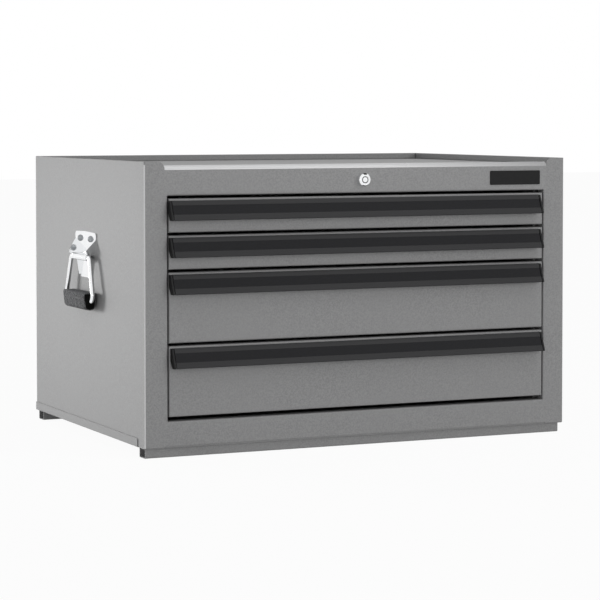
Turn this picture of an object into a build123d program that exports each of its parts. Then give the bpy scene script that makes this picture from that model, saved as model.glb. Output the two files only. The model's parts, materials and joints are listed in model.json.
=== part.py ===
from build123d import *
import os
from math import asin, atan2, cos, hypot, pi, sin

# A steel tool chest with four drawers. Sizes are in millimetres. The front faces -Y, +X is on the
# viewer's right and +Z is up. The origin is on the floor, under the middle of the whole object.

# Cabinet sheets
cabinet_width = 711.2
cabinet_depth = 508.0
panel_height = 421.5
sheet = 1.2
bend_radius = 2.5  # outside of an ordinary bend
corner_bend_radius = 1.6  # outside of a cabinet corner
hem_edge_radius = 0.9
seam = 0.3  # gap where two pieces butt
overrun = 5.0  # how far a cut runs past the piece that it cuts
post_width = 36.6
post_return = 18.0
post_corner_radius = 11.5
rear_flange = 16.0
top_recess = 10.0  # tray floor below the rims of the side and back panels
top_lip = 4.0  # front edge above the tray floor
top_lip_run = 7.0  # slope up to that edge
top_roll_radius = 6.6
top_rail_height = 44.6
top_rear_flange = 14.0
bottom_rail_height = 37.9
rail_return = 20.0
rail_lap = 4.5  # rail past the edge of the drawer opening
lap_height = 12.0  # pan flange on the outside of a side panel
lap_setback = 29.0  # front end of that flange behind the front of the chest

# Skids
skid_height = 16.4
skid_depth = 23.5
skid_inset = 3.8
skid_front_setback = 9.0
skid_rear_setback = 1.2

# Badge plate
badge_width = 89.5
badge_height = 22.0
badge_thickness = 1.2
badge_corner_radius = 1.5
badge_end_gap = 12.0  # from the end of the upper rail
badge_rise = 20.0  # its middle above the lower edge of the upper rail

# Drawer fronts
drawer_unit_shares = (1, 1, 2, 2)
drawer_gap = 4.4
bottom_gap = 6.6
side_gap = 2.0
front_depth = 18.0
front_sheet = 1.0
front_edge_radius = 2.0
front_return = 16.0

# Drawer trays
tray_sheet = 1.0
tray_rear_gap = 35.0  # from the tray's rear wall to the back of the chest
tray_rise = 4.0  # floor above the lower edge of the front
tray_drop = 5.0  # rim below the upper edge of the front
tray_hem = 6.0
tray_bend = 2.0
tab_width = 30.0
tab_reach = 14.0

# Drawer pulls
pull_height = 29.0
pull_reach = 18.0
pull_top_reach = 7.0
pull_drop = 3.0  # below the upper edge of the front
pull_end_gap = 5.85  # from the end of a centred pull to the edge of the front
pull_shift_shares = (-0.8, -0.65, -0.6, -0.27)  # of that gap, each pull off the middle
pull_wall = 2.4
pull_flange = 18.0
pull_lip = 2.0
pull_edge_radius = 1.0
pull_groove_depth = 0.7
pull_groove_shares = (0.25, 0.74)
cap_thickness = 2.6
cap_heel = 8.5

# Drawer slides
slide_thickness = 12.7
slide_height = 34.0
slide_rear_gap = 1.0  # from the slide's rear end to the tray's
slide_setback = 4.0  # behind the rear edge of the drawer front
slide_rise = 20.5  # middle of the slide above the tray floor
rail_sheet = 1.2
rail_bend = 1.5
rail_clearance = 0.6
cabinet_rail_reach = 9.5
middle_rail_reach = 10.6
drawer_rail_reach = 8.9
ball_radius = 1.6
ball_clearance = 0.1
ball_spacing = 20.0
balls_in_cage = 8
cage_width = 3.0
cage_thickness = 0.6
cage_end_gap = 8.0
bumper_length = 9.0
bumper_height = 26.0
bumper_reach = 9.8

# Slide uprights
upright_lip = 1.5  # slide face inside the edge of the drawer opening
upright_width = 40.0
upright_foot = 12.0
front_upright_setback = 30.0
rear_upright_setback = 48.0
upright_top_gap = 2.0

# Lock
lock_rise = 20.0  # lock axis above the lower edge of the upper rail
bezel_radius = 10.4
bezel_face_radius = 9.7
bezel_reach = 9.5
bezel_edge = 1.2
barrel_radius = 9.5
barrel_length = 24.0
nut_width = 25.4
nut_thickness = 4.5
plug_radius = 6.5
plug_sink = 0.6
plug_tail = 3.0
keyway_radius = 5.3
keyway_post_radius = 4.0
keyway_depth = 6.0
notch_width = 5.6
notch_depth = 5.0
notch_floor_radius = 7.6
fit_clearance = 0.05  # radial, round a pin, shaft or barrel

# Lock works behind the drawers
torque_rod_radius = 3.0
crank_throw = 6.4
crank_turn = pi / 2
crank_thickness = 4.0
crank_rim = 3.0
pin_radius = 2.0
pin_clearance = 0.6
bar_width = 24.0
bar_thickness = 2.5
bar_back_gap = 8.0
bar_top_gap = 1.5  # between the lifted bar and the top panel
bar_tail = 15.0
prong_width = 10.0
prong_thickness = 3.5
prong_setback = 5.0
prong_clearance = 2.0
arm_thickness = 4.0
guide_height = 14.0
guide_foot = 10.0
guide_clearance = 0.4
guide_bend = 1.6
bracket_width = 26.0
bracket_foot = 16.0
bracket_drop = 9.0  # bracket below the torque rod's axis
bracket_setback = 60.0

# Side handles
handle_height = 284.7  # pivot above the floor
pivot_reach = 10.0
bail_radius = 3.5
bail_top_half = 43.0
bail_foot_half = 64.0
bail_drop = 66.5
bail_top_bend = 6.0
bail_foot_bend = 10.0
bail_butt_gap = 1.0
grip_width = 23.0
grip_rise = 13.2  # flat top of the grip above the bail's foot
grip_depth = 13.8  # underside of the grip below the bail's foot
grip_length = 98.0
grip_top_radius = 3.0
grip_foot_radius = 7.5
grip_foot_share = 0.72  # width at the underside
grip_edge_radius = 1.6
grip_rest_gap = 0.5
bracket_sheet = 1.8
shield_half = 48.0
shield_top = 38.5
shield_crown = 1.5
shield_crown_radius = 500.0
shield_shoulder = 30.0
shield_corner_radius = 6.0
shield_shoulder_radius = 8.0
shield_foot_radius = 1.5
knuckle_half = 35.0
knuckle_wall = 1.4
ear_reach = 16.0
ear_nose_share = 0.2
ear_tip_radius = 2.5
tab_half = 25.0
tab_drop = 32.0
tab_corner_radius = 4.0
tab_flange_reach = 7.5
tab_flange_foot_reach = 4.0
rivet_radius = 2.4
rivet_head_radius = 5.2
rivet_head_height = 4.8
rivet_tail_radius = 3.6
rivet_tail_height = 1.5
rivet_half_spacing = 24.0
rivet_rise = 28.5

# Places that follow from those sizes
half_width = cabinet_width / 2
opening_half = half_width - post_width
front_y = (pull_reach - cabinet_depth) / 2
back_y = front_y + cabinet_depth
panel_bottom = skid_height
panel_top = panel_bottom + panel_height
top_z = panel_top - top_recess
lip_y = front_y + top_roll_radius + bend_radius
lip_z = top_z + top_lip
opening_top = lip_z - top_rail_height
opening_bottom = panel_bottom + bottom_rail_height
inner_back_y = back_y - 2 * sheet
rim_hem = top_recess - sheet
rail_half = opening_half + rail_lap

front_half = opening_half - side_gap
pull_half = front_half - pull_end_gap
slide_plane = opening_half - upright_lip
tray_half = slide_plane - slide_thickness
tray_front_y = front_y + front_depth
tray_rear_y = back_y - tray_rear_gap
slide_front_y = tray_front_y + slide_setback
slide_rear_y = tray_rear_y - slide_rear_gap
race = 2 * (ball_radius + ball_clearance)
middle_rail_half = slide_height / 2 - rail_sheet - race
drawer_rail_half = middle_rail_half - rail_sheet - race

lock_z = opening_top + lock_rise
barrel_end_y = front_y + barrel_length
crank_rest = -crank_turn / 2
lock_lift = 2 * crank_throw * sin(crank_turn / 2)
bar_front_y = inner_back_y - bar_back_gap - bar_thickness
bar_top_z = top_z - sheet - bar_top_gap - lock_lift
crank_y = bar_front_y - pin_clearance - crank_thickness

handle_y = (front_y + back_y) / 2
grip_axis_reach = grip_width / 2 + grip_rest_gap
bail_tilt = atan2(grip_axis_reach - pivot_reach, bail_drop)
bracket_neck = bail_radius + fit_clearance + knuckle_wall / 2


def block(x_low, x_high, y_low, y_high, z_low, z_high):
    """A box between two corners."""
    corner = (Align.MIN, Align.MIN, Align.MIN)
    return Pos(x_low, y_low, z_low) * Box(x_high - x_low, y_high - y_low, z_high - z_low, align=corner)


def along_x(section, low, high):
    """A section drawn in (Y, Z), carried along X."""
    return extrude(Plane.YZ.offset(low) * section, high - low, dir=(1, 0, 0))


def along_y(section, low, high):
    """A section drawn in (X, Z), carried along Y."""
    return extrude(Plane.XZ.offset(-low) * section, high - low, dir=(0, 1, 0))


def along_z(section, low, high):
    """A section drawn in (X, Y), carried along Z."""
    return extrude(Plane.XY.offset(low) * section, high - low, dir=(0, 0, 1))


def outline(points, radii=0):
    """The face inside a closed row of points, with its corners rounded."""
    return make_face(FilletPolyline(points, radius=radii, close=True))


def folded_sheet(path, thickness, radii):
    """The section of a bent sheet: a path, and the same path one sheet to its left.

    Each bend has its radius on the outside, and that radius less the sheet on the inside.
    """
    points = [Vector(*point) for point in path]
    steps = [(after - before).normalized() for before, after in zip(points, points[1:])]
    lefts = [Vector(-step.Y, step.X) for step in steps]
    shifted = [points[0] + lefts[0] * thickness]
    near_radii = []
    far_radii = []
    for i, radius in enumerate(radii):
        before, after = lefts[i], lefts[i + 1]
        shifted.append(points[i + 1] + (before + after) * (thickness / (1 + before.dot(after))))
        turns_left = steps[i].cross(steps[i + 1]).Z > 0
        near_radii.append(radius if turns_left else radius - thickness)
        far_radii.append(radius - thickness if turns_left else radius)
    shifted.append(points[-1] + lefts[-1] * thickness)
    corner_radii = [0, *near_radii, 0, 0, *far_radii[::-1], 0]
    return outline(points + shifted[::-1], corner_radii)


def turned_on_x(profile, y, z):
    """A face drawn in (X, radius), turned about a line along X."""
    plane = Plane(origin=(0, y, z), x_dir=(1, 0, 0), z_dir=(0, -1, 0))
    return revolve(plane * profile, Axis((0, y, z), (1, 0, 0)))


def turned_on_y(profile, x, z):
    """A face drawn in (Y, radius), turned about a line along Y."""
    plane = Plane(origin=(x, 0, z), x_dir=(0, 1, 0), z_dir=(1, 0, 0))
    return revolve(plane * profile, Axis((x, 0, z), (0, 1, 0)))


def other_side(shape):
    """The same piece on the other side of the chest."""
    return mirror(shape, about=Plane.YZ)


def group(*shapes):
    """Separate solids that share one node."""
    return Compound([solid for shape in shapes for solid in shape.solids()])


def rivet_places():
    """The handle rivets' (Y, Z) places."""
    return [(handle_y + side * rivet_half_spacing, handle_height + rivet_rise) for side in (-1, 1)]


def rim_section(low):
    """The section of a rim's folded hem: two sheets thick, from low, with round upper edges."""
    points = [
        (low, panel_top - rim_hem),
        (low + 2 * sheet, panel_top - rim_hem),
        (low + 2 * sheet, panel_top),
        (low, panel_top),
    ]
    return outline(points, [0, 0, hem_edge_radius, hem_edge_radius])


def side_panel():
    """The left side: wall, front post, rear flange, and a hem along the top rim.

    Beside the drawers the post folds into a return; above and below them it butts against a rail.
    """
    wall = [(rear_flange - half_width, back_y), (-half_width, back_y), (-half_width, front_y)]
    post = [(-opening_half, front_y), (-opening_half, front_y + post_return)]
    corners = [corner_bend_radius] * 2
    beside_drawers = folded_sheet(wall + post, sheet, [*corners, bend_radius])
    beside_rail = folded_sheet(wall + [(-rail_half, front_y)], sheet, corners)
    panel = along_z(beside_drawers, opening_bottom, opening_top)
    panel += along_z(beside_rail, panel_bottom, opening_bottom)
    panel += along_z(beside_rail, opening_top, panel_top)
    wall_x = sheet - half_width
    hem_low, hem_high = front_y + bend_radius, back_y - bend_radius
    rim_low, cut_top = panel_top - rim_hem, panel_top + overrun
    panel -= block(-half_width - overrun, wall_x + overrun, hem_low, hem_high, rim_low, cut_top)
    hem = along_y(rim_section(-half_width), hem_low, hem_high)
    corner_x, corner_z = -rail_half - post_corner_radius, panel_top - post_corner_radius
    cut_front, cut_rear = front_y - overrun, front_y + overrun
    waste = block(corner_x, overrun - rail_half, cut_front, cut_rear, corner_z, cut_top)
    waste -= along_y(Pos(corner_x, corner_z) * Circle(post_corner_radius), cut_front, cut_rear)
    panel = panel + hem - waste
    for y, z in rivet_places():
        hole = Pos(y, z) * Circle(rivet_radius + fit_clearance)
        panel -= along_x(hole, -half_width - overrun, wall_x + overrun)
    return panel


def back_panel():
    """A flat sheet inside the rear flanges, hemmed along its top rim."""
    half = half_width - sheet - bend_radius
    panel = block(-half, half, inner_back_y, inner_back_y + sheet, panel_bottom, panel_top - rim_hem)
    return panel + along_x(rim_section(inner_back_y - sheet), -half, half)


def rail_corners(low, high):
    """The square ends of a rail's bend, which fill the corners of the drawer opening."""
    right = block(opening_half, rail_half, front_y, front_y + sheet, low, high)
    return right + other_side(right)


def top_panel():
    """The tray top, whose front edge rises to a lip and rolls down into the rail between the posts."""
    rear = inner_back_y - seam
    path = [
        (rear, top_z - top_rear_flange),
        (rear, top_z),
        (lip_y + top_lip_run, top_z),
        (lip_y, lip_z),
        (front_y, lip_z),
        (front_y, opening_top),
        (front_y + rail_return, opening_top),
    ]
    radii = [bend_radius] * 3 + [top_roll_radius, bend_radius]
    section = folded_sheet(path, sheet, radii)
    wide_half = half_width - sheet - seam
    wide_front = front_y + bend_radius + seam
    panel = along_x(section, -rail_half, rail_half) + rail_corners(opening_top, opening_top + bend_radius)
    shelf = block(rail_half, wide_half, wide_front, rear - bend_radius, top_z - sheet, top_z)
    panel += shelf + other_side(shelf)
    barrel_hole = Pos(0, lock_z) * Circle(barrel_radius + fit_clearance)
    return panel - along_y(barrel_hole, front_y - overrun, front_y + overrun)


def bottom_pan():
    """The floor, with flanges that lap up outside the side panels."""
    outside = half_width + sheet
    path = [
        (-outside, panel_bottom + lap_height),
        (-outside, panel_bottom - sheet),
        (outside, panel_bottom - sheet),
        (outside, panel_bottom + lap_height),
    ]
    lap_front = front_y + lap_setback
    pan = along_y(folded_sheet(path, sheet, [sheet] * 2), lap_front, back_y)
    nose_front = front_y + bend_radius
    return pan + block(-half_width, half_width, nose_front, lap_front, panel_bottom - sheet, panel_bottom)


def bottom_rail():
    """A channel across the front, under the lowest drawer."""
    path = [
        (front_y + rail_return, opening_bottom),
        (front_y, opening_bottom),
        (front_y, panel_bottom),
        (front_y + rail_return, panel_bottom),
    ]
    rail = along_x(folded_sheet(path, sheet, [bend_radius] * 2), -rail_half, rail_half)
    return rail + rail_corners(opening_bottom - bend_radius, opening_bottom)


def skid(skid_front_y):
    """A channel with its web on the floor and open ends."""
    skid_rear_y = skid_front_y + skid_depth
    rim = panel_bottom - sheet
    path = [(skid_front_y, rim), (skid_front_y, 0), (skid_rear_y, 0), (skid_rear_y, rim)]
    half = half_width - skid_inset
    return along_x(folded_sheet(path, sheet, [bend_radius] * 2), -half, half)


def upright(upright_front_y):
    """A hat channel on the left wall, with its face at the slides."""
    wall_x = sheet - half_width
    face_x = -slide_plane - sheet
    upright_rear_y = upright_front_y + upright_width
    path = [
        (wall_x, upright_rear_y + upright_foot),
        (wall_x, upright_rear_y),
        (face_x, upright_rear_y),
        (face_x, upright_front_y),
        (wall_x, upright_front_y),
        (wall_x, upright_front_y - upright_foot),
    ]
    section = folded_sheet(path, sheet, [bend_radius] * 4)
    return along_z(section, panel_bottom, top_z - sheet - upright_top_gap)


def badge_plate():
    """A thin bare plate near the right end of the upper rail."""
    face = RectangleRounded(badge_width, badge_height, badge_corner_radius)
    middle_x = rail_half - badge_end_gap - badge_width / 2
    return along_y(Pos(middle_x, opening_top + badge_rise) * face, front_y - badge_thickness, front_y)


def drawer_front(low, high):
    """A folded pan with round edges, whose rear returns lie against the tray."""
    outside = block(-front_half, front_half, front_y, tray_front_y, low, high)
    outside = fillet(outside.faces().sort_by(Axis.Y)[0].edges(), front_edge_radius)
    inside = block(
        front_sheet - front_half,
        front_half - front_sheet,
        front_y + front_sheet,
        tray_front_y - front_sheet,
        low + front_sheet,
        high - front_sheet,
    )
    inside = fillet(inside.faces().sort_by(Axis.Y)[0].edges(), front_edge_radius - front_sheet)
    window = block(
        front_return - front_half,
        front_half - front_return,
        tray_front_y - front_sheet,
        tray_front_y + overrun,
        low + front_return,
        high - front_return,
    )
    return outside - inside - window


def tray(low, high):
    """An open box with hemmed side walls and a hooked lock tab at its rear."""
    outside = block(-tray_half, tray_half, tray_front_y, tray_rear_y, low, high)
    outside = fillet(outside.faces().sort_by(Axis.Z)[0].edges(), tray_bend)
    inside = block(
        tray_sheet - tray_half,
        tray_half - tray_sheet,
        tray_front_y + tray_sheet,
        tray_rear_y - tray_sheet,
        low + tray_sheet,
        high + overrun,
    )
    inside = fillet(inside.faces().sort_by(Axis.Z)[0].edges(), tray_bend - tray_sheet)
    hem_faces = [tray_half - 2 * tray_sheet, tray_half - tray_sheet]
    hem = block(*hem_faces, tray_front_y + tray_sheet, tray_rear_y - tray_sheet, high - tray_hem, high)
    hook = [
        (tray_rear_y + tab_reach, high - lock_lift),
        (tray_rear_y + tab_reach, high),
        (tray_rear_y - tray_sheet, high),
    ]
    tab = along_x(folded_sheet(hook, tray_sheet, [tray_bend]), -tab_width / 2, tab_width / 2)
    return outside - inside + hem + other_side(hem) + tab


def front_line(share):
    """The pull's slanted front: (reach, drop) from its upper edge, share 0, to its lower edge, share 1."""
    run = pull_reach - pull_top_reach
    return pull_top_reach + run * share, (pull_height - pull_lip) * share


def pull_inside():
    """The back of the pull's front wall: its reach under the top web and at the lower edge."""
    run, fall = pull_reach - pull_top_reach, pull_height - pull_lip
    shift = pull_wall * hypot(run, fall) / fall
    slope = run / fall
    top = pull_top_reach - shift + slope * pull_wall
    foot = pull_top_reach - shift + slope * pull_height
    return top, foot


def pull(middle_x, top):
    """A hooked section with a shallow band along its front, carried nearly the width of the front."""
    inner_top, inner_foot = pull_inside()
    groove = [front_line(share) for share in pull_groove_shares]
    sunk = [(reach - pull_groove_depth, drop) for reach, drop in groove]
    points = [
        (0, 0),
        front_line(0),
        groove[0],
        sunk[0],
        sunk[1],
        groove[1],
        front_line(1),
        (pull_reach, pull_height),
        (inner_foot, pull_height),
        (inner_top, pull_wall),
        (pull_wall, pull_wall),
        (pull_wall, pull_flange),
        (0, pull_flange),
    ]
    radii = [0, pull_edge_radius, 0, 0, 0, 0, 0, pull_edge_radius, 0, 0, 0, 0, 0]
    section = outline([(front_y - reach, top - drop) for reach, drop in points], radii)
    return along_x(section, middle_x - pull_half, middle_x + pull_half)


def pull_caps(middle_x, top):
    """The two plates that close the ends of a pull."""
    points = [
        (0, 0),
        front_line(0),
        front_line(1),
        (pull_reach, pull_height),
        (cap_heel, pull_height),
        (0, pull_flange),
    ]
    radii = [0, pull_edge_radius, 0, pull_edge_radius, pull_edge_radius, 0]
    section = outline([(front_y - reach, top - drop) for reach, drop in points], radii)
    plate = along_x(section, pull_half, pull_half + cap_thickness)
    return group(Pos(X=middle_x) * plate, Pos(X=middle_x) * other_side(plate))


def slide_rail(points, middle_z, low, high):
    """A folded rail on each side; points are (distance from the upright, height from the middle)."""
    path = [(reach - slide_plane, middle_z + rise) for reach, rise in points]
    left = along_y(folded_sheet(path, rail_sheet, [rail_bend] * 2), low, high)
    return group(left, other_side(left))


def channel(near, far, half):
    """A channel's path, from the tip of its upper flange at far, round its web at near."""
    return [(far, half), (near, half), (near, -half), (far, -half)]


def cabinet_rails(middle_z):
    """The rails fixed to the uprights, a bumper longer than the moving ones."""
    points = channel(0, cabinet_rail_reach, slide_height / 2)
    return slide_rail(points, middle_z, slide_front_y, slide_rear_y + bumper_length)


def middle_rails(middle_z):
    """The rails that run between the fixed ones and the drawer's."""
    points = channel(rail_sheet + rail_clearance, middle_rail_reach, middle_rail_half)
    return slide_rail(points, middle_z, slide_front_y, slide_rear_y)


def drawer_rails(middle_z):
    """The rails fixed to the tray, open towards the uprights."""
    points = channel(slide_thickness, slide_thickness - drawer_rail_reach, drawer_rail_half)
    return slide_rail(points[::-1], middle_z, slide_front_y, slide_rear_y)


def ball_cage(reach, middle_z, cage_y):
    """A strip with a row of balls, between two rails on the left."""
    middle_x = reach - slide_plane
    strip_half = (balls_in_cage * ball_spacing) / 2
    middle_y = cage_y + strip_half
    half = cage_width / 2
    cage = block(
        middle_x - half,
        middle_x + half,
        cage_y,
        cage_y + 2 * strip_half,
        middle_z - cage_thickness / 2,
        middle_z + cage_thickness / 2,
    )
    for i in range(balls_in_cage):
        ball_y = middle_y + (i - (balls_in_cage - 1) / 2) * ball_spacing
        cage += Pos(middle_x, ball_y, middle_z) * Sphere(ball_radius)
    return cage


def ball_cages(middle_z):
    """The cages above and below the middle rail's web, inside it and outside it, on both sides."""
    outer_reach = cabinet_rail_reach - cage_width
    inner_reach = slide_thickness - drawer_rail_reach + cage_width
    outer_rise = middle_rail_half + race / 2
    inner_rise = drawer_rail_half + race / 2
    front_cage_y = slide_front_y + cage_end_gap
    rear_cage_y = slide_rear_y - cage_end_gap - balls_in_cage * ball_spacing
    left = []
    for side in (-1, 1):
        left.append(ball_cage(outer_reach, middle_z + side * outer_rise, rear_cage_y))
        left.append(ball_cage(inner_reach, middle_z + side * inner_rise, front_cage_y))
    return group(*left, *[other_side(cage) for cage in left])


def slide_bumpers(middles):
    """Rubber blocks in the rear ends of the cabinet rails."""
    low = slide_rear_y + seam
    high = slide_rear_y + bumper_length
    near = rail_sheet - slide_plane
    half = bumper_height / 2
    left = [block(near, near + bumper_reach, low, high, z - half, z + half) for z in middles]
    return group(*left, *[other_side(bumper) for bumper in left])


def lock_body():
    """The bezel and the barrel, bored for the plug, with a key notch in the top of the bezel."""
    bore = plug_radius + fit_clearance
    face_y = front_y - bezel_reach
    profile = [
        (face_y, bore),
        (face_y, bezel_face_radius - bezel_edge),
        (face_y + bezel_edge, bezel_face_radius),
        (front_y - bezel_edge, bezel_radius),
        (front_y, bezel_radius),
        (front_y, barrel_radius),
        (barrel_end_y, barrel_radius),
        (barrel_end_y, bore),
    ]
    notch = block(
        -notch_width / 2,
        notch_width / 2,
        face_y - overrun,
        face_y + notch_depth,
        lock_z + notch_floor_radius,
        lock_z + bezel_radius + overrun,
    )
    return turned_on_y(outline(profile), 0, lock_z) - notch


def lock_nut():
    """A hexagon nut behind the upper rail."""
    hexagon = RegularPolygon(nut_width / 2, 6, major_radius=False) - Circle(barrel_radius + fit_clearance)
    nut_front_y = front_y + sheet
    return along_y(Pos(0, lock_z) * hexagon, nut_front_y, nut_front_y + nut_thickness)


def lock_plug():
    """The turning core, with a ring keyway round its centre post and a tail behind the barrel."""
    face_y = front_y - bezel_reach + plug_sink
    keyway_y = face_y + keyway_depth
    profile = [
        (face_y, 0),
        (face_y, keyway_post_radius),
        (keyway_y, keyway_post_radius),
        (keyway_y, keyway_radius),
        (face_y, keyway_radius),
        (face_y, plug_radius),
        (barrel_end_y + plug_tail, plug_radius),
        (barrel_end_y + plug_tail, 0),
    ]
    return turned_on_y(outline(profile), 0, lock_z)


def torque_rod():
    """The rod that carries the plug's turn to the rear."""
    section = Pos(0, lock_z) * Circle(torque_rod_radius)
    return along_y(section, barrel_end_y + plug_tail, crank_y + crank_thickness)


def rod_bracket():
    """An angle under the top panel that steadies the rear of the torque rod."""
    bracket_y = back_y - bracket_setback
    under = top_z - sheet
    path = [
        (bracket_y + bracket_foot, under),
        (bracket_y, under),
        (bracket_y, lock_z - bracket_drop),
    ]
    angle = along_x(folded_sheet(path, sheet, [bend_radius]), -bracket_width / 2, bracket_width / 2)
    hole = Pos(0, lock_z) * Circle(torque_rod_radius + fit_clearance)
    return angle - along_y(hole, bracket_y - overrun, bracket_y + overrun)


def pin_place(angle):
    """The crank pin's (X, Z) place when the crank stands at an angle above level."""
    return -crank_throw * cos(angle), lock_z + crank_throw * sin(angle)


def lock_crank():
    """A disc on the rear of the torque rod, with a pin that lifts the lock bar."""
    disc = Circle(crank_throw + crank_rim) - Circle(torque_rod_radius + fit_clearance)
    crank = along_y(Pos(0, lock_z) * disc, crank_y, crank_y + crank_thickness)
    pin = Pos(*pin_place(crank_rest)) * Circle(pin_radius)
    return crank + along_y(pin, crank_y, bar_front_y + bar_thickness + pin_radius)


def prong_top(rim):
    """The top of a prong at rest, under the lock tab of the tray with this rim."""
    return rim - lock_lift - prong_clearance


def lock_bar(rims):
    """The upright bar behind the drawers, with a prong under each tray's lock tab."""
    rear = bar_front_y + bar_thickness
    foot = prong_top(min(rims)) - lock_lift - arm_thickness - bar_tail
    bar = block(-bar_width / 2, bar_width / 2, bar_front_y, rear, foot, bar_top_z)
    half = prong_width / 2
    prong_y = tray_rear_y + prong_setback
    for rim in rims:
        tip = prong_top(rim)
        arm_top = tip - lock_lift
        bar += block(-half, half, prong_y, bar_front_y, arm_top - arm_thickness, arm_top)
        bar += block(-half, half, prong_y, prong_y + prong_thickness, arm_top - arm_thickness, tip)
    room = pin_radius + pin_clearance
    nearest_x, pin_z = pin_place(crank_rest)
    slot = block(
        -crank_throw - room,
        nearest_x + room,
        bar_front_y - overrun,
        rear + overrun,
        pin_z - room,
        pin_z + room,
    )
    return bar - slot


def lock_bar_guides(rims):
    """Two straps on the back panel, midway between the prongs of the deep drawers and those above."""
    half = bar_width / 2 + guide_clearance
    bridge_y = bar_front_y - guide_clearance
    path = [
        (half + guide_foot, inner_back_y),
        (half, inner_back_y),
        (half, bridge_y),
        (-half, bridge_y),
        (-half, inner_back_y),
        (-half - guide_foot, inner_back_y),
    ]
    section = folded_sheet(path, sheet, [guide_bend] * 4)
    straps = []
    for above, below in zip(rims[1:], rims[2:]):
        middle = prong_top((above + below) / 2)
        straps.append(along_z(section, middle - guide_height / 2, middle + guide_height / 2))
    return group(*straps)


def handle_shield():
    """The right bracket's plate against the wall, drilled for the rivets."""
    points = [
        (-shield_half, shield_top),
        (-shield_half, shield_shoulder),
        (-knuckle_half, bracket_neck),
        (knuckle_half, bracket_neck),
        (shield_half, shield_shoulder),
        (shield_half, shield_top),
        (0, shield_top + shield_crown),
    ]
    side = [shield_corner_radius, shield_shoulder_radius, shield_foot_radius]
    face = Pos(handle_y, handle_height) * outline(points, [*side, *side[::-1], shield_crown_radius])
    for place in rivet_places():
        face -= Pos(*place) * Circle(rivet_radius + fit_clearance)
    return along_x(face, half_width, half_width + bracket_sheet)


def handle_ear(side):
    """A gusset folded out of one slanted edge of the shield."""
    run = shield_half - knuckle_half
    fall = shield_shoulder - bracket_neck
    length = hypot(run, fall)
    foot = (half_width, handle_y + side * knuckle_half, handle_height + bracket_neck)
    edge = Vector(0, side * run / length, fall / length)
    plane = Plane(origin=foot, x_dir=edge, z_dir=edge.cross(Vector(1, 0, 0)))
    nose = ear_nose_share * length
    points = [(0, 0), (0, ear_reach), (nose, ear_reach), (length, 0)]
    inward = Vector(0, -side * fall / length, run / length)
    face = plane * outline(points, [0, ear_tip_radius, ear_tip_radius, 0])
    return extrude(face, bracket_sheet, dir=inward)


def tab_flange(side):
    """A gusset folded out of one edge of the bracket's lower tab."""
    top = handle_height - bracket_neck
    foot = handle_height - tab_drop + tab_corner_radius
    points = [
        (half_width, top),
        (half_width + tab_flange_reach, top),
        (half_width + tab_flange_foot_reach, foot),
        (half_width, foot),
    ]
    edges = sorted([handle_y + side * tab_half, handle_y + side * (tab_half - bracket_sheet)])
    return along_y(outline(points), *edges)


def handle_bracket():
    """The right handle's bracket: shield, ears, knuckle round the bail, and flanged lower tab."""
    pivot_x = half_width + pivot_reach
    bore = bail_radius + fit_clearance
    outer = bore + knuckle_wall
    low, high = handle_y - knuckle_half, handle_y + knuckle_half
    upper_web = block(half_width, pivot_x, low, high, handle_height + bore, handle_height + outer)
    tab_low, tab_high = handle_y - tab_half, handle_y + tab_half
    lower_web = block(half_width, pivot_x, tab_low, tab_high, handle_height - outer, handle_height - bore)
    tab_points = [(-tab_half, -bore), (-tab_half, -tab_drop), (tab_half, -tab_drop), (tab_half, -bore)]
    tab_face = outline(tab_points, [0, tab_corner_radius, tab_corner_radius, 0])
    tab = along_x(Pos(handle_y, handle_height) * tab_face, half_width, half_width + bracket_sheet)
    knuckle = along_y(Pos(pivot_x, handle_height) * Circle(outer), low, high)
    bracket = handle_shield() + upper_web + lower_web + tab + knuckle
    for side in (-1, 1):
        bracket += handle_ear(side) + tab_flange(side)
    bore_face = Pos(pivot_x, handle_height) * Circle(bore)
    return bracket - along_y(bore_face, low - overrun, high + overrun)


def handle_bail():
    """The right bail: a rod bent into a loop, its ends meeting inside the grip."""
    down = Vector(sin(bail_tilt), 0, -cos(bail_tilt))
    across = Vector(0, 1, 0)
    pivot = (half_width + pivot_reach, handle_y, handle_height)
    plane = Plane(origin=pivot, x_dir=across, z_dir=across.cross(down))
    drop = hypot(bail_drop, grip_axis_reach - pivot_reach)
    butt = bail_butt_gap / 2
    points = [
        (butt, drop),
        (bail_foot_half, drop),
        (bail_top_half, 0),
        (-bail_top_half, 0),
        (-bail_foot_half, drop),
        (-butt, drop),
    ]
    bends = [bail_foot_bend, bail_top_bend, bail_top_bend, bail_foot_bend]
    path = plane * FilletPolyline(points, radius=bends)
    start = Plane(origin=path @ 0, z_dir=path % 0)
    return sweep(start * Circle(bail_radius), path)


def handle_grip():
    """The right grip, a sleeve on the foot of the bail, flat on top and round underneath."""
    half, top, foot = grip_length / 2, grip_width / 2, grip_foot_share * grip_width / 2
    points = [(-top, grip_rise), (-foot, -grip_depth), (foot, -grip_depth), (top, grip_rise)]
    radii = [grip_top_radius, grip_foot_radius, grip_foot_radius, grip_top_radius]
    sleeve = along_y(outline(points, radii), -half, half)
    ends = sleeve.faces().sort_by(Axis.Y)
    sleeve = fillet(ends[0].edges() + ends[-1].edges(), grip_edge_radius)
    sleeve -= along_y(Circle(bail_radius + fit_clearance), -half - overrun, half + overrun)
    return Pos(half_width + grip_axis_reach, handle_y, handle_height - bail_drop) * sleeve


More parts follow.
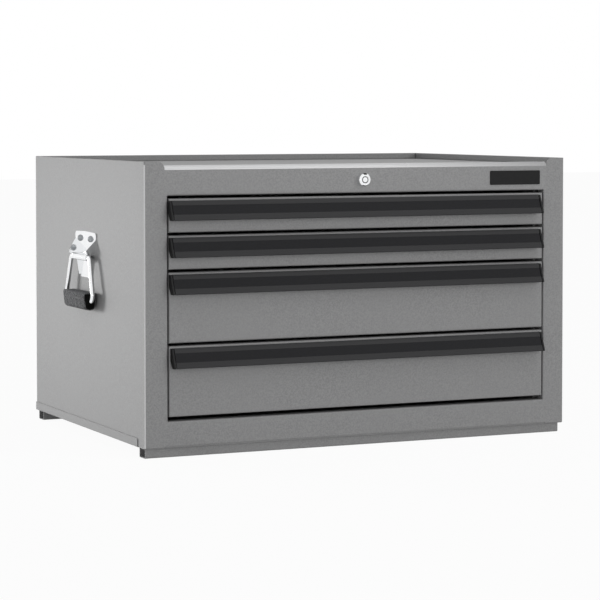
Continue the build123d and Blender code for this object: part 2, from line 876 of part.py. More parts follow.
def rivet(y, z):
    """A domed rivet through the bracket and the right wall, upset on the inside."""
    seat = half_width + bracket_sheet
    wall = half_width - sheet
    tail = wall - rivet_tail_height
    tip = seat + rivet_head_height
    dome_radius = (rivet_head_radius**2 + rivet_head_height**2) / (2 * rivet_head_height)
    half_angle = asin(rivet_head_radius / dome_radius) / 2
    crown = (tip - dome_radius * (1 - cos(half_angle)), dome_radius * sin(half_angle))
    shank = Polyline(
        (tip, 0),
        (tail, 0),
        (tail, rivet_tail_radius),
        (wall, rivet_tail_radius),
        (wall, rivet_radius),
        (seat, rivet_radius),
        (seat, rivet_head_radius),
    )
    dome = ThreePointArc((seat, rivet_head_radius), crown, (tip, 0))
    return turned_on_x(make_face(shank + dome), y, z)


def handle_rivets():
    """The four rivets of the two brackets."""
    right = [rivet(y, z) for y, z in rivet_places()]
    return group(*right, *[other_side(piece) for piece in right])


def drawer_levels():
    """The lower and upper edge of each drawer front, from the top drawer down."""
    unit = (opening_top - opening_bottom - bottom_gap) / sum(drawer_unit_shares)
    levels = []
    top = opening_top
    for share in drawer_unit_shares:
        levels.append((top - share * unit, top - drawer_gap))
        top -= share * unit
    return levels


left_side = side_panel()
front_uprights = upright(front_y + front_upright_setback)
rear_uprights = upright(back_y - rear_upright_setback - upright_width)
bracket = handle_bracket()
bail = handle_bail()
grip = handle_grip()
levels = drawer_levels()
rims = [high - tray_drop for low, high in levels]
slide_middles = [low + tray_rise + slide_rise for low, high in levels]

nodes = {
    "left_side_panel": left_side,
    "right_side_panel": other_side(left_side),
    "back_panel": back_panel(),
    "top_panel": top_panel(),
    "bottom_pan": bottom_pan(),
    "bottom_rail": bottom_rail(),
    "front_skid": skid(front_y + skid_front_setback),
    "rear_skid": skid(back_y - skid_rear_setback - skid_depth),
    "front_uprights": group(front_uprights, other_side(front_uprights)),
    "rear_uprights": group(rear_uprights, other_side(rear_uprights)),
    "badge_plate": badge_plate(),
    "slide_bumpers": slide_bumpers(slide_middles),
    "lock_body": lock_body(),
    "lock_nut": lock_nut(),
    "lock_plug": lock_plug(),
    "lock_torque_rod": torque_rod(),
    "lock_rod_bracket": rod_bracket(),
    "lock_crank": lock_crank(),
    "lock_bar": lock_bar(rims),
    "lock_bar_guides": lock_bar_guides(rims),
    "left_handle_bracket": other_side(bracket),
    "left_handle_bail": other_side(bail),
    "left_handle_grip": other_side(grip),
    "right_handle_bracket": bracket,
    "right_handle_bail": bail,
    "right_handle_grip": grip,
    "handle_rivets": handle_rivets(),
}
for number, ((low, high), middle_z) in enumerate(zip(levels, slide_middles), start=1):
    pull_x = pull_end_gap * pull_shift_shares[number - 1]
    drawer = f"drawer_{number}"
    nodes[f"{drawer}_front"] = drawer_front(low, high)
    nodes[f"{drawer}_tray"] = tray(low + tray_rise, high - tray_drop)
    nodes[f"{drawer}_pull"] = pull(pull_x, high - pull_drop)
    nodes[f"{drawer}_pull_caps"] = pull_caps(pull_x, high - pull_drop)
    nodes[f"{drawer}_cabinet_rails"] = cabinet_rails(middle_z)
    nodes[f"{drawer}_middle_rails"] = middle_rails(middle_z)
    nodes[f"{drawer}_drawer_rails"] = drawer_rails(middle_z)
    nodes[f"{drawer}_ball_cages"] = ball_cages(middle_z)

os.makedirs("parts", exist_ok=True)
for name, shape in nodes.items():
    export_step(shape, f"parts/{name}.step")
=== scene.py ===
# %% [markdown]
# # A steel tool chest with four drawers
#
# The chest is a folded steel box that stands on two skids. Its solids come from CAD and are the fixed
# frame of this lesson: they already have the right size and place, so Blender only dresses them. The
# script gives every CAD piece a procedural finish, replaces the few pieces that need finer surfaces,
# and adds the camera, the lights and the floor.

# %% Load the CAD frame
import json

import bpy
import numpy as np
from mathutils import Euler, Matrix, Vector


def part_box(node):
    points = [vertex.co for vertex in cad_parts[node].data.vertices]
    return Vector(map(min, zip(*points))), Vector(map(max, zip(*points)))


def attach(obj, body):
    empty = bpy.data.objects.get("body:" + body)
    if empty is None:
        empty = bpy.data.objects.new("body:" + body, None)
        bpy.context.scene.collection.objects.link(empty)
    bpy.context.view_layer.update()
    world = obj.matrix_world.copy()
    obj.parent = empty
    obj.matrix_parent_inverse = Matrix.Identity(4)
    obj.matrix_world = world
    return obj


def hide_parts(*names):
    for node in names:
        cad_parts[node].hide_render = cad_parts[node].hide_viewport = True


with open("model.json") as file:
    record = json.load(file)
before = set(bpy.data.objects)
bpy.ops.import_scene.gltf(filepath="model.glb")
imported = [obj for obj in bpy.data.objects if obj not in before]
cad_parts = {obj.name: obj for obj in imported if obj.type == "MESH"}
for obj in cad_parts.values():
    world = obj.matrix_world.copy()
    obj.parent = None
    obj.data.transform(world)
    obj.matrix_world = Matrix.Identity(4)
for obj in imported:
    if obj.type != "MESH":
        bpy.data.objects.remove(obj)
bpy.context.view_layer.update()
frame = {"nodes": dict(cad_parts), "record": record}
nodes = frame["nodes"]
mm = 0.001

# %% [markdown]
# ## Camera
#
# The view was worked out from the seven box corners that the photograph shows. The photograph keeps
# upright edges parallel, as a shifted lens does. Half of that comes from a small lens shift here and
# half from a slight downward tilt, so the object also stays well inside the frame in other views.

# %% Place the camera
view_yaw, view_tilt, view_roll = np.radians([24.6193, -2.3724, -0.0248])
lens = bpy.data.cameras.new("view")
lens.sensor_width = 36.0
lens.lens = 136.979
lens.shift_y = -0.15
lens.clip_end = 100.0
camera = bpy.data.objects.new("view", lens)
camera.location = (-1.5364, -3.3683, 0.5051)
aim = Euler((np.pi / 2 + view_tilt, 0.0, -view_yaw)).to_matrix()
camera.rotation_euler = (aim @ Matrix.Rotation(view_roll, 3, "Z")).to_euler()
bpy.context.scene.collection.objects.link(camera)
bpy.context.scene.camera = camera
print("camera at", tuple(camera.location), "lens", lens.lens)

# %% [markdown]
# ## Helpers for finishes
#
# A finish is a small network of shader nodes. Colours are easier to read as sRGB hex values, as on a
# paint card, but shaders count in linear light, so one function converts them. A second function adds
# a node, sets its own properties and fills its sockets with numbers or links. A third picks out a box,
# for a finish that differs at one place of a piece.

# %% Colour and node helpers
COLOUR_A, COLOUR_B, COLOUR_OUT = 6, 7, 2  # the colour sockets of a Mix node


def linear(hex_value):
    """An sRGB hex value as linear light: c / 12.92 up to 0.04045, then ((c + 0.055) / 1.055) ** 2.4."""
    c = np.array([int(hex_value[i : i + 2], 16) for i in (0, 2, 4)]) / 255
    return (*np.where(c <= 0.04045, c / 12.92, ((c + 0.055) / 1.055) ** 2.4).tolist(), 1.0)


def add(tree, kind, inputs=(), **settings):
    """Adds one node: settings are its own properties, inputs are numbers or links for its sockets."""
    node = tree.nodes.new(kind)
    for name, value in settings.items():
        setattr(node, name, value)
    for socket, value in dict(inputs).items():
        if isinstance(value, bpy.types.NodeSocket):
            tree.links.new(value, node.inputs[socket])
        else:
            node.inputs[socket].default_value = value
    return node


def start_finish(name):
    """An empty node network, and the Object coordinates that its patterns read, in metres."""
    finish = bpy.data.materials.new(name)
    finish.use_nodes = True
    finish.node_tree.nodes.clear()
    where = add(finish.node_tree, "ShaderNodeTexCoord").outputs["Object"]
    return finish, finish.node_tree, where


def end_finish(tree, inputs):
    """Ends a network with one Principled shader."""
    shader = add(tree, "ShaderNodeBsdfPrincipled", inputs)
    add(tree, "ShaderNodeOutputMaterial", {"Surface": shader.outputs["BSDF"]})


def inside_box(tree, where, low, high):
    """1 inside the box from low to high, else 0.

    Inside, |point - middle| / half is below 1 on every axis, so the largest of the three decides.
    """
    middle, half = (low + high) / 2, (high - low) / 2
    away = add(tree, "ShaderNodeVectorMath", {0: where, 1: middle}, operation="SUBTRACT")
    away = add(tree, "ShaderNodeVectorMath", {0: away.outputs[0]}, operation="ABSOLUTE")
    away = add(tree, "ShaderNodeVectorMath", {0: away.outputs[0], 1: half}, operation="DIVIDE")
    away = add(tree, "ShaderNodeSeparateXYZ", {"Vector": away.outputs[0]})
    far = add(tree, "ShaderNodeMath", {0: away.outputs["X"], 1: away.outputs["Y"]}, operation="MAXIMUM")
    far = add(tree, "ShaderNodeMath", {0: far.outputs[0], 1: away.outputs["Z"]}, operation="MAXIMUM")
    return add(tree, "ShaderNodeMath", {0: far.outputs[0], 1: 1.0}, operation="LESS_THAN").outputs[0]


print("light grey a0a0a0 in linear light:", np.round(linear("a0a0a0"), 3).tolist())

# %% [markdown]
# ## Powder coat
#
# The sheets are steel with a baked grey powder coat. Powder melts into a skin with a very fine
# orange-peel grain, which breaks up reflections and makes the grey look slightly speckled. Two noises
# make it: a fine one for the grain, which drives colour, roughness and bump, and a broad faint one, so
# that large sheets aren't perfectly even. A painted highlight, a paler grey with a smoother gloss, lies
# on the rolled front edge of the top and on the upright bends at the front corners, weaker towards the
# right, and tools scuff the tray floor dull. A box picks out the painted highlight on each sheet, and
# one function makes all three coats.

# %% Powder coat finishes
# Real grain is about 0.5 mm; 2.2 mm is as fine as the pixels of the render can show.
grain_size, drift_size = 2.2 * mm, 160 * mm
front_y, side_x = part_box("top_panel")[0].y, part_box("right_side_panel")[1].x
top_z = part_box("top_panel")[1].z
roll_reach, bend_depth, margin = 6.6 * mm, 1.5 * mm, 1.0 * mm
highlight_fades_from, least_highlight = 50 * mm, 0.2  # from this x the painted highlight fades to its least at the right side
gloss_spread, highlight_roughness = 0.07, 0.25

# The boxes where a highlight is painted: the rolled front edge of the top and the front corner bends.
# Both boxes are compared with |x|, so each holds on the left and on the right.
roll_highlight_box = (
    Vector((-margin, front_y - margin, top_z - roll_reach)),
    Vector((side_x, front_y + roll_reach, top_z + margin)),
)
bend_highlight_box = (
    Vector((side_x - bend_depth, front_y - margin, -margin)),
    Vector((side_x + margin, front_y + bend_depth, top_z + margin)),
)


def powder_coat(name, roughness, highlight_box=None, specular=0.5):
    """A grey coat with its grain, with a painted highlight, paler and smoother, in a box and its mirror
    in x.
    """
    finish, tree, where = start_finish(name)
    grain = add(tree, "ShaderNodeTexNoise", {"Vector": where, "Scale": 1 / grain_size, "Detail": 2.0})
    drift = add(tree, "ShaderNodeTexNoise", {"Vector": where, "Scale": 1 / drift_size, "Detail": 2.0})
    speck = add(
        tree, "ShaderNodeMapRange", {"Value": grain.outputs["Fac"], "From Min": 0.28, "From Max": 0.72}
    )
    grey = add(
        tree,
        "ShaderNodeMix",
        {"Factor": speck.outputs["Result"], COLOUR_A: linear("7e7e7e"), COLOUR_B: linear("a2a2a2")},
        data_type="RGBA",
    )
    even = add(
        tree,
        "ShaderNodeMix",
        {
            "Factor": drift.outputs["Fac"],
            COLOUR_A: grey.outputs[COLOUR_OUT],
            COLOUR_B: linear("949494"),
        },
        data_type="RGBA",
    ).outputs[COLOUR_OUT]
    gloss = add(
        tree,
        "ShaderNodeMapRange",
        {
            "Value": grain.outputs["Fac"],
            "To Min": roughness - gloss_spread,
            "To Max": roughness + gloss_spread,
        },
    ).outputs["Result"]
    # Painted highlight: inside the box the grey is mixed towards pale e8e8e8, less so to the right, and
    # the gloss is made smoother.
    if highlight_box:
        place = add(tree, "ShaderNodeSeparateXYZ", {"Vector": where})
        across = add(tree, "ShaderNodeMath", {0: place.outputs["X"]}, operation="ABSOLUTE")
        mirrored = {"X": across.outputs[0], "Y": place.outputs["Y"], "Z": place.outputs["Z"]}
        mirrored = add(tree, "ShaderNodeCombineXYZ", mirrored)
        highlight = inside_box(tree, mirrored.outputs["Vector"], *highlight_box)
        fade = {"From Min": highlight_fades_from, "From Max": side_x, "To Min": 1.0, "To Max": least_highlight}
        highlight_fade = add(tree, "ShaderNodeMapRange", {"Value": place.outputs["X"], **fade})
        highlight = add(tree, "ShaderNodeMath", {0: highlight, 1: highlight_fade.outputs["Result"]}, operation="MULTIPLY")
        highlight_mix = {"Factor": highlight.outputs[0], COLOUR_A: even, COLOUR_B: linear("e8e8e8")}
        even = add(tree, "ShaderNodeMix", highlight_mix, data_type="RGBA").outputs[COLOUR_OUT]
        shine = {"Value": highlight.outputs[0], "To Min": gloss, "To Max": highlight_roughness}
        gloss = add(tree, "ShaderNodeMapRange", shine).outputs["Result"]
    peel = add(
        tree,
        "ShaderNodeBump",
        {"Height": grain.outputs["Fac"], "Strength": 0.35, "Distance": 0.12 * mm},
    )
    end_finish(
        tree,
        {
            "Base Color": even,
            "Roughness": gloss,
            "Normal": peel.outputs["Normal"],
            "IOR": 1.5,
            "Specular IOR Level": specular,
        },
    )
    return finish


sheet_coat = powder_coat("grey_powder_coat_on_steel", 0.45)
# These two coats carry the painted highlight on their front edges.
side_coat = powder_coat("grey_powder_coat_painted_corner_highlights", 0.45, bend_highlight_box)
top_coat = powder_coat("grey_powder_coat_scuffed_top_painted_roll_highlight", 0.6, roll_highlight_box, specular=0.8)
print("made", sheet_coat.name, side_coat.name, "and", top_coat.name)

# %% [markdown]
# ## Black pulls
#
# The pulls are black anodised aluminium, drawn through a die, so they carry faint lines along their
# length and a satin gloss. The sunk band along the middle is blasted matt, so it mirrors less and looks
# darker than the two edges beside it. Stretching a noise along X makes the lines.

# %% Pull finishes
# Real drawing lines and blasting pits are about 0.1 mm; these sizes are as fine as the render shows.
line_width, line_stretch, band_grain = 1.2 * mm, 50.0, 1.5 * mm

pull_edge, tree, where = start_finish("black_anodised_aluminium")
stretched = add(tree, "ShaderNodeMapping", {"Vector": where, "Scale": (1 / line_stretch, 1.0, 1.0)})
lines = add(
    tree,
    "ShaderNodeTexNoise",
    {"Vector": stretched.outputs["Vector"], "Scale": 1 / line_width, "Detail": 2.0},
)
shade = add(
    tree,
    "ShaderNodeMix",
    {"Factor": lines.outputs["Fac"], COLOUR_A: linear("1c1c1d"), COLOUR_B: linear("272729")},
    data_type="RGBA",
)
satin = add(tree, "ShaderNodeMapRange", {"Value": lines.outputs["Fac"], "To Min": 0.4, "To Max": 0.55})
end_finish(
    tree,
    {
        "Base Color": shade.outputs[COLOUR_OUT],
        "Roughness": satin.outputs["Result"],
        "IOR": 1.5,
        "Specular IOR Level": 0.31,
    },
)

pull_band, tree, where = start_finish("black_anodised_aluminium_matte_band")
fine = add(tree, "ShaderNodeTexNoise", {"Vector": where, "Scale": 1 / band_grain, "Detail": 2.0})
shade = add(
    tree,
    "ShaderNodeMix",
    {"Factor": fine.outputs["Fac"], COLOUR_A: linear("29292a"), COLOUR_B: linear("333335")},
    data_type="RGBA",
)
rough = add(
    tree,
    "ShaderNodeBump",
    {"Height": fine.outputs["Fac"], "Strength": 0.3, "Distance": 0.1 * mm},
)
end_finish(
    tree,
    {
        "Base Color": shade.outputs[COLOUR_OUT],
        "Roughness": 0.75,
        "Normal": rough.outputs["Normal"],
        "IOR": 1.5,
        "Specular IOR Level": 0.1,
    },
)
print("made", pull_edge.name, "and", pull_band.name)

# %% [markdown]
# ## Black plastic
#
# The end caps of the pulls are moulded plastic with the fine texture of a spark-eroded mould, and the
# badge plate is a bare glossy black plate with a trace of unevenness under its lacquer.

# %% Plastic finishes
# Mould texture is about 0.2 mm in reality, and is drawn coarser so that it shows.
pit_size, cloud_size = 1.0 * mm, 6.0 * mm

cap_plastic, tree, where = start_finish("black_moulded_plastic")
pits = add(tree, "ShaderNodeTexNoise", {"Vector": where, "Scale": 1 / pit_size, "Detail": 1.0})
shade = add(
    tree,
    "ShaderNodeMix",
    {"Factor": pits.outputs["Fac"], COLOUR_A: linear("131314"), COLOUR_B: linear("1c1c1d")},
    data_type="RGBA",
)
mould = add(
    tree,
    "ShaderNodeBump",
    {"Height": pits.outputs["Fac"], "Strength": 0.2, "Distance": 0.08 * mm},
)
end_finish(
    tree,
    {
        "Base Color": shade.outputs[COLOUR_OUT],
        "Roughness": 0.55,
        "Normal": mould.outputs["Normal"],
        "IOR": 1.49,
        "Specular IOR Level": 0.25,
    },
)

badge_lacquer, tree, where = start_finish("black_lacquered_plate")
cloud = add(tree, "ShaderNodeTexNoise", {"Vector": where, "Scale": 1 / cloud_size, "Detail": 2.0})
shade = add(
    tree,
    "ShaderNodeMix",
    {"Factor": cloud.outputs["Fac"], COLOUR_A: linear("0c0c0d"), COLOUR_B: linear("161617")},
    data_type="RGBA",
)
sheen = add(tree, "ShaderNodeMapRange", {"Value": cloud.outputs["Fac"], "To Min": 0.3, "To Max": 0.42})
end_finish(
    tree,
    {
        "Base Color": shade.outputs[COLOUR_OUT],
        "Roughness": sheen.outputs["Result"],
        "IOR": 1.5,
        "Specular IOR Level": 0.18,
    },
)
print("made", cap_plastic.name, "and", badge_lacquer.name)

# %% [markdown]
# ## Chrome and zinc
#
# The handles and the lock are chrome plate, bright and smooth with faint waves from polishing. The
# narrow key slots of the lock lie in shade, which is painted into them as a near-black colour. Depth
# tells them apart: on the plug all that lies behind its face is slot, and on the bezel so is a short
# stretch behind the face at the very top. The slides and the lock works are zinc plated: greyer and
# duller, with soft patches a few millimetres across where the plating crystallised.

# %% Metal finishes
wave_size, crystal_size = 5.0 * mm, 4.0 * mm
slot_skin = 0.3 * mm  # chrome edge in front of the painted shade of a slot


def chrome_plate(name, slot_low=None, slot_high=None):
    """Chrome, with painted shade, near black, inside the box from slot_low to slot_high."""
    finish, tree, where = start_finish(name)
    wave = add(tree, "ShaderNodeTexNoise", {"Vector": where, "Scale": 1 / wave_size, "Detail": 1.0})
    smear = add(
        tree, "ShaderNodeMapRange", {"Value": wave.outputs["Fac"], "To Min": 0.05, "To Max": 0.13}
    )
    ripple = add(
        tree, "ShaderNodeBump", {"Height": wave.outputs["Fac"], "Strength": 0.12, "Distance": 0.2 * mm}
    )
    plate = linear("f2f3f4")
    if slot_low is not None:
        # Painted shade: inside the slot box the chrome colour is mixed to near-black 0a0a0a.
        slot_shade = inside_box(tree, where, slot_low, slot_high)
        plate = add(
            tree,
            "ShaderNodeMix",
            {"Factor": slot_shade, COLOUR_A: plate, COLOUR_B: linear("0a0a0a")},
            data_type="RGBA",
        ).outputs[COLOUR_OUT]
    end_finish(
        tree,
        {
            "Base Color": plate,
            "Metallic": 1.0,
            "Roughness": smear.outputs["Result"],
            "Normal": ripple.outputs["Normal"],
        },
    )
    return finish


chrome = chrome_plate("polished_chrome_plate")
# The key slots of the plug and of the bezel get painted shade.
low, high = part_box("lock_plug")
plug_chrome = chrome_plate("chrome_plate_round_keyway_painted_shade", low + Vector((0.0, slot_skin, 0.0)), high)
low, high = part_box("lock_body")
notch_half, notch_rise, notch_depth = 2.9 * mm, 7.4 * mm, 5.2 * mm
middle_x, middle_z = (low.x + high.x) / 2, (low.z + high.z) / 2
bezel_chrome = chrome_plate(
    "chrome_plate_key_notch_painted_shade",
    Vector((middle_x - notch_half, low.y + slot_skin, middle_z + notch_rise)),
    Vector((middle_x + notch_half, low.y + notch_depth, high.z + notch_half)),
)

zinc, tree, where = start_finish("zinc_plated_steel")
patch = add(tree, "ShaderNodeTexVoronoi", {"Vector": where, "Scale": 1 / crystal_size})
tint = add(
    tree,
    "ShaderNodeMix",
    {"Factor": patch.outputs["Distance"], COLOUR_A: linear("8d9093"), COLOUR_B: linear("a4a7a9")},
    data_type="RGBA",
)
dull = add(
    tree,
    "ShaderNodeMapRange",
    {"Value": patch.outputs["Distance"], "To Min": 0.42, "To Max": 0.56},
)
end_finish(
    tree,
    {"Base Color": tint.outputs[COLOUR_OUT], "Metallic": 1.0, "Roughness": dull.outputs["Result"]},
)
print("made", chrome.name, plug_chrome.name, bezel_chrome.name, "and", zinc.name)

# %% [markdown]
# ## Rubber
#
# The grips are dark rubber with a mottled, slightly worn skin. The bumpers behind the slides are plain
# black rubber. A noise with more detail gives the mottling, and the same noise lifts the surface.

# %% Rubber finishes
mottle_size, bloom_size = 3.2 * mm, 3.0 * mm

grip_rubber, tree, where = start_finish("mottled_grip_rubber")
mottle = add(
    tree,
    "ShaderNodeTexNoise",
    {"Vector": where, "Scale": 1 / mottle_size, "Detail": 4.0, "Roughness": 0.7},
)
speck = add(
    tree,
    "ShaderNodeMapRange",
    {"Value": mottle.outputs["Fac"], "From Min": 0.38, "From Max": 0.7},
)
shade = add(
    tree,
    "ShaderNodeMix",
    {"Factor": speck.outputs["Result"], COLOUR_A: linear("2e2e2f"), COLOUR_B: linear("8c8d8f")},
    data_type="RGBA",
)
skin = add(
    tree,
    "ShaderNodeBump",
    {"Height": mottle.outputs["Fac"], "Strength": 0.5, "Distance": 0.3 * mm},
)
end_finish(
    tree,
    {
        "Base Color": shade.outputs[COLOUR_OUT],
        "Roughness": 0.75,
        "Normal": skin.outputs["Normal"],
        "IOR": 1.5,
        "Specular IOR Level": 0.3,
    },
)

bumper_rubber, tree, where = start_finish("black_rubber")
bloom = add(tree, "ShaderNodeTexNoise", {"Vector": where, "Scale": 1 / bloom_size, "Detail": 2.0})
shade = add(
    tree,
    "ShaderNodeMix",
    {"Factor": bloom.outputs["Fac"], COLOUR_A: linear("060606"), COLOUR_B: linear("0e0e0e")},
    data_type="RGBA",
)
end_finish(
    tree,
    {"Base Color": shade.outputs[COLOUR_OUT], "Roughness": 0.9, "IOR": 1.5, "Specular IOR Level": 0.15},
)
print("made", grip_rubber.name, "and", bumper_rubber.name)

# %% [markdown]
# ## Dressing the CAD pieces
#
# The record names a material slot for every CAD piece, so one table from slot to finish dresses them
# all. A second, short table holds the pieces whose finish differs from the rest of their slot.
# Their meshes stay as they are.

# %% Give each CAD piece its finish
finish_of_slot = {
    "powder_coat": sheet_coat,
    "black_aluminium": pull_edge,
    "black_plastic": cap_plastic,
    "badge": badge_lacquer,
    "zinc_steel": zinc,
    "chrome": chrome,
    "grip_rubber": grip_rubber,
    "bumper_rubber": bumper_rubber,
}
finish_of_node = {
    "top_panel": top_coat,
    "left_side_panel": side_coat,
    "right_side_panel": side_coat,
    "lock_plug": plug_chrome,
    "lock_body": bezel_chrome,
}
for entry in frame["record"]["subparts"]:
    mesh = nodes[entry["node"]].data
    mesh.materials.clear()
    mesh.materials.append(finish_of_node.get(entry["node"], finish_of_slot[entry["material_slot"]]))

# %% [markdown]
# ## Surfaces from arrays
#
# A new piece is a grid of points in two parameters. A helper turns such a grid into quads: each quad
# joins a point to its neighbours along both directions, and a closed direction wraps round to its
# start. All of it is done on whole arrays.

# %% Grid helper
def grid_piece(name, points, wrap_rows=False, wrap_columns=False, ends=False, sharp=40.0):
    """A mesh from points[row, column]: quads between neighbours, and flat ends on the outer rows."""
    rows, columns = points.shape[:2]
    index = np.arange(rows * columns).reshape(rows, columns)
    index = np.vstack([index, index[:1]]) if wrap_rows else index
    index = np.hstack([index, index[:, :1]]) if wrap_columns else index
    quads = np.stack([index[:-1, :-1], index[:-1, 1:], index[1:, 1:], index[1:, :-1]], axis=-1)
    faces = quads.reshape(-1, 4).tolist()
    if ends:
        ring = np.arange(columns)
        faces += [ring[::-1].tolist(), (ring + (rows - 1) * columns).tolist()]
    mesh = bpy.data.meshes.new(name)
    mesh.from_pydata(points.reshape(-1, 3).tolist(), [], faces)
    mesh.update()
    mesh.shade_smooth()
    mesh.set_sharp_from_angle(angle=np.radians(sharp))
    piece = bpy.data.objects.new(name, mesh)
    bpy.context.scene.collection.objects.link(piece)
    return piece


def rounded(corners, radii, steps):
    """A closed outline with its corners rounded.

    At a corner with half-angle h, the arc of radius r starts r / tan(h) before it, and its centre lies
    r / sin(h) along the bisector. The arc turns through pi - 2 h.
    """
    before, after = np.roll(corners, 1, axis=0) - corners, np.roll(corners, -1, axis=0) - corners
    before /= np.linalg.norm(before, axis=1, keepdims=True)
    after /= np.linalg.norm(after, axis=1, keepdims=True)
    half = np.arccos(np.clip((before * after).sum(1), -1, 1)) / 2
    bisector = before + after
    bisector /= np.linalg.norm(bisector, axis=1, keepdims=True)
    centre = corners + bisector * (radii / np.sin(half))[:, None]
    spoke = corners + before * (radii / np.tan(half))[:, None] - centre
    side = np.sign(before[:, 0] * after[:, 1] - before[:, 1] * after[:, 0])
    turn = -side[:, None] * (np.pi - 2 * half)[:, None] * np.linspace(0, 1, steps)[None, :]
    x = spoke[:, :1] * np.cos(turn) - spoke[:, 1:] * np.sin(turn)
    y = spoke[:, :1] * np.sin(turn) + spoke[:, 1:] * np.cos(turn)
    return np.stack([centre[:, :1] + x, centre[:, 1:] + y], axis=-1)


print("helpers ready")

# %% [markdown]
# ## The pulls
#
# Each drawer has a pull as wide as its front: a hooked aluminium section with a slanted face. The CAD
# pull has the same section with mostly sharp corners. A section with small rounded corners catches the
# light along its edges, so each pull is made again as that section carried along X. It stops a little
# short of its end caps, which leaves the dark seams that the real one shows. The faces of the sunk band
# take the second, rougher finish.

# %% Draw the section of a pull
# Sizes in millimetres.
pull_reach, pull_height, pull_top_reach = 18.0, 29.0, 7.0
pull_lip, pull_wall, pull_flange = 2.0, 2.4, 18.0
band_sink, band_shares = 0.7, np.array([0.25, 0.74])
arc_steps = 6
slant = np.array([pull_reach - pull_top_reach, pull_height - pull_lip])  # (reach, drop) along the face
band = np.array([pull_top_reach, 0.0]) + band_shares[:, None] * slant
slope = slant[0] / slant[1]
back_shift = pull_wall * np.hypot(*slant) / slant[1]
inner = np.array([pull_wall, pull_height])
inner = np.stack([pull_top_reach - back_shift + slope * inner, inner], axis=-1)
pull_corners = np.array(
    [
        (0.0, 0.0),
        (pull_top_reach, 0.0),
        band[0],
        band[0] - (band_sink, 0.0),
        band[1] - (band_sink, 0.0),
        band[1],
        (pull_reach, pull_height - pull_lip),
        (pull_reach, pull_height),
        inner[1],
        inner[0],
        (pull_wall, pull_wall),
        (pull_wall, pull_flange),
        (0.0, pull_flange),
    ]
)
pull_radii = np.array([0.1, 1.0, 0.3, 0.2, 0.2, 0.3, 0.5, 1.0, 0.3, 0.4, 0.4, 0.3, 0.1])
section = rounded(pull_corners, pull_radii, arc_steps).reshape(-1, 2) * mm
band_column = 4 * arc_steps - 1  # the face between the 4th and 5th corners, at the bottom of the band
print("pull section has", len(section), "points")

# %% Carry the section along each pull
cap_seam, pull_stations = 1.2 * mm, 9
for number in (1, 2, 3, 4):
    low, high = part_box(f"drawer_{number}_pull")
    along = np.linspace(low.x + cap_seam, high.x - cap_seam, pull_stations)
    points = np.empty((len(along), len(section), 3))
    points[..., 0] = along[:, None]
    points[..., 1] = high.y - section[None, :, 0]
    points[..., 2] = high.z - section[None, :, 1]
    pull = grid_piece(f"drawer_{number}_pull_drawn", points, wrap_columns=True, ends=True)
    pull.data.materials.append(pull_edge)
    pull.data.materials.append(pull_band)
    finish_index = np.zeros(len(pull.data.polygons), np.int32)
    columns = np.arange((len(along) - 1) * len(section)) % len(section)
    finish_index[: len(columns)] = columns == band_column
    pull.data.polygons.foreach_set("material_index", finish_index)
    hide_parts(f"drawer_{number}_pull")
    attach(pull, f"drawer_{number}")
print("pulls carried along X from", np.round(along[0], 4), "to", np.round(along[-1], 4))

# %% [markdown]
# ## The grips
#
# Each handle's grip is a rubber sleeve on the foot of the bail, flat on top for the palm and round
# below for the fingers. It could be lofted by hand, but its section is one rounded outline, so it is
# carried along Y. Near an end every point moves inwards along its own normal, which rounds the edge. A
# ring closes the flat end down to the bore and runs back through it, so that the skin is one closed
# surface.

# %% Carry the section along each grip
# Sizes of the section in millimetres; the foot is a share of the width.
grip_rise, grip_foot_share, grip_bore, grip_edge = 13.2, 0.72, 3.55, 1.6
grip_radii, grip_arc_steps = np.array([3.0, 3.0, 7.5, 7.5]), 12
bend = np.linspace(0, np.pi / 2, 7)  # angles at which the edge of an end is drawn


def sleeve(outline, half):
    """Rings of (x, y, z) points round the Y axis.

    At an end, for an angle a from 0 to 90 degrees, a point lies edge * (1 - cos a) inside the outline,
    at y = half - edge * (1 - sin a). The ring of the bore takes its angles from the outline's points.
    """
    along = np.roll(outline, -1, axis=0) - np.roll(outline, 1, axis=0)
    inwards = np.stack([along[:, 1], -along[:, 0]], axis=-1)
    inwards /= np.linalg.norm(inwards, axis=1, keepdims=True)
    inset = grip_edge * (1 - np.cos(bend))
    y_end = half - grip_edge * (1 - np.sin(bend))
    rings = outline[None] + inwards[None] * np.concatenate([inset[::-1], inset])[:, None, None]
    bore = grip_bore * outline / np.linalg.norm(outline, axis=1, keepdims=True)
    rings = np.concatenate([bore[None], rings, bore[None]])
    y = np.concatenate([[-half], -y_end[::-1], y_end, [half]])
    y = np.broadcast_to(y[:, None], rings.shape[:2])
    return np.stack([rings[..., 0], y, rings[..., 1]], axis=-1)


for side in ("left", "right"):
    low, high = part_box(f"{side}_handle_grip")
    width, height, length = (high.x - low.x) / mm, (high.z - low.z) / mm, (high.y - low.y) / mm
    top, foot, depth = width / 2, grip_foot_share * width / 2, height - grip_rise
    grip_corners = np.array([(-top, grip_rise), (top, grip_rise), (foot, -depth), (-foot, -depth)])
    outline = rounded(grip_corners, grip_radii, grip_arc_steps).reshape(-1, 2)
    points = sleeve(outline, length / 2) * mm
    points += ((low.x + high.x) / 2, (low.y + high.y) / 2, high.z - grip_rise * mm)
    grip = grid_piece(f"{side}_handle_grip_moulded", points, wrap_rows=True, wrap_columns=True)
    grip.data.materials.append(grip_rubber)
    grip.data.materials.append(bumper_rubber)
    strip = np.arange(len(grip.data.polygons)) // points.shape[1]
    end_strips = (0, len(points) - 2, len(points) - 1)
    grip.data.polygons.foreach_set("material_index", np.isin(strip, end_strips).astype(np.int32))
    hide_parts(f"{side}_handle_grip")
    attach(grip, f"{side}_handle")
print("grips carried along Y with", points.shape[0], "rings of", points.shape[1], "points")

# %% [markdown]
# ## Floor
#
# A product photograph has a bright, even surround. It could be lit until it is white, but that would
# light the chest too. So the floor glows only for camera rays and reflections. The small share that
# stays paper keeps the shadow under the chest.

# %% Lay the floor
floor_half, glow_share = 14.0, 0.95


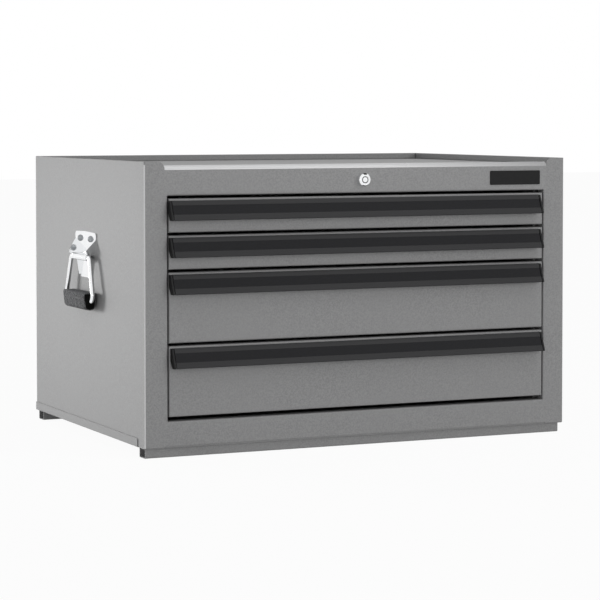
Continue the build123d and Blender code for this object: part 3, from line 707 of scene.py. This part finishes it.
def seen_directly(tree):
    """1 for rays that show the surround: camera rays, and those in reflections and through glass."""
    path = add(tree, "ShaderNodeLightPath")
    shown = add(
        tree,
        "ShaderNodeMath",
        {0: path.outputs["Is Camera Ray"], 1: path.outputs["Is Glossy Ray"]},
        operation="MAXIMUM",
    )
    shown = add(
        tree,
        "ShaderNodeMath",
        {0: shown.outputs[0], 1: path.outputs["Is Transmission Ray"]},
        operation="MAXIMUM",
    )
    return shown.outputs[0]


floor_paper = bpy.data.materials.new("white_backdrop_paper")
floor_paper.use_nodes = True
tree = floor_paper.node_tree
tree.nodes.clear()
paper = add(tree, "ShaderNodeBsdfDiffuse", {"Color": linear("ececec")})
glow = add(tree, "ShaderNodeEmission", {"Color": (1.0, 1.0, 1.0, 1.0), "Strength": 1.0})
share = add(tree, "ShaderNodeMath", {0: seen_directly(tree), 1: glow_share}, operation="MULTIPLY")
both = add(
    tree,
    "ShaderNodeMixShader",
    {0: share.outputs[0], 1: paper.outputs["BSDF"], 2: glow.outputs["Emission"]},
)
add(tree, "ShaderNodeOutputMaterial", {"Surface": both.outputs["Shader"]})

reach = np.array([-floor_half, floor_half])
floor_points = np.stack([*np.meshgrid(reach, reach), np.zeros((2, 2))], axis=-1)
floor = grid_piece("floor", floor_points)
floor.data.materials.append(floor_paper)
print("floor laid,", 2 * floor_half, "m square")

# %% [markdown]
# ## Background and lights
#
# The world is white in the same way, and lights the chest only at a plain level, so its greys render as
# they are written. A wide soft light stands in front, with a second one higher at the right. A narrow
# beam low at the left rear brightens the left side and throws the handle's shadow forwards. A strip at
# the left picks out the bend of the front corner, and a long light above runs along the rolled edge.

# %% World and lights
room_level = 0.42

world = bpy.data.worlds.new("studio")
bpy.context.scene.world = world
world.use_nodes = True
tree = world.node_tree
tree.nodes.clear()
room = add(tree, "ShaderNodeBackground", {"Color": linear("fafafc"), "Strength": room_level})
white = add(tree, "ShaderNodeBackground", {"Color": (1.0, 1.0, 1.0, 1.0), "Strength": 1.0})
surround = add(
    tree,
    "ShaderNodeMixShader",
    {0: seen_directly(tree), 1: room.outputs["Background"], 2: white.outputs["Background"]},
)
add(tree, "ShaderNodeOutputWorld", {"Surface": surround.outputs["Shader"]})


def soft_light(name, place, target, width, height, power, spread=180.0):
    """An area light at place, turned to face target, whose beam a grid narrows to spread degrees."""
    lamp = bpy.data.lights.new(name, "AREA")
    lamp.shape = "RECTANGLE"
    lamp.size, lamp.size_y = width, height
    lamp.energy = power
    lamp.spread = np.radians(spread)
    light = bpy.data.objects.new(name, lamp)
    light.location = place
    light.rotation_euler = (Vector(target) - Vector(place)).to_track_quat("-Z", "Y").to_euler()
    bpy.context.scene.collection.objects.link(light)


# Places and sizes in metres, powers in watts.
front_middle, upper_front, front_roll = (0.0, -0.24, 0.2), (0.1, -0.24, 0.25), (-0.15, -0.24, 0.43)
left_foot, left_bend = (-0.3556, -0.1, -0.12), (-0.355, -0.245, 0.22)
soft_light("front_softbox", (0.2, -4.0, 0.45), front_middle, width=2.4, height=0.8, power=16.0)
soft_light("upper_softbox", (1.7, -3.6, 1.3), upper_front, width=1.6, height=1.0, power=14.0)
soft_light("left_beam", (-2.15, 2.95, 0.34), left_foot, width=0.8, height=0.8, power=1.15, spread=22.0)
soft_light("corner_strip", (-3.0, -1.9, 0.5), left_bend, width=0.12, height=1.0, power=4.0)
soft_light("edge_light", (0.75, -1.3, 2.3), front_roll, width=0.25, height=1.6, power=6.0)
bpy.context.scene.view_settings.view_transform = "Standard"
